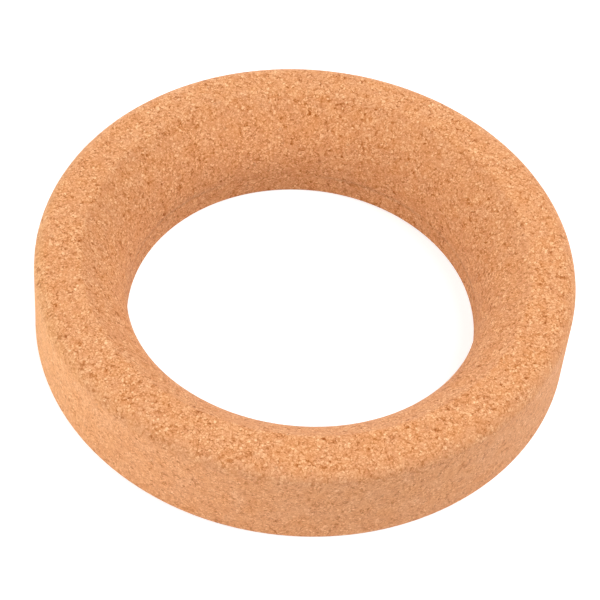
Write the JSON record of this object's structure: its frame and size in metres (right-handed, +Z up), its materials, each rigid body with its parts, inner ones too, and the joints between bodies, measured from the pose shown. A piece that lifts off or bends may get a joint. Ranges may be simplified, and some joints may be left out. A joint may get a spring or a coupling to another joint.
{
  "type": "cork ring",
  "caption": "Pressed cork ring with a rounded seat that holds a round-bottomed flask upright on a bench.",
  "frame": {"origin": "centre of the ring's underside, on the surface that it stands on", "axes": "+Z up along the ring's own axis, out of the seat; X and Y are any two directions across the ring, which is the same all the way round"},
  "size_m": [0.14, 0.14, 0.026],
  "materials": {
    "pressed_cork": "matt, granular, unvarnished"
  },
  "bodies": {
    "root": {"cork_ring": "pressed_cork"}
  },
  "joints": []
}
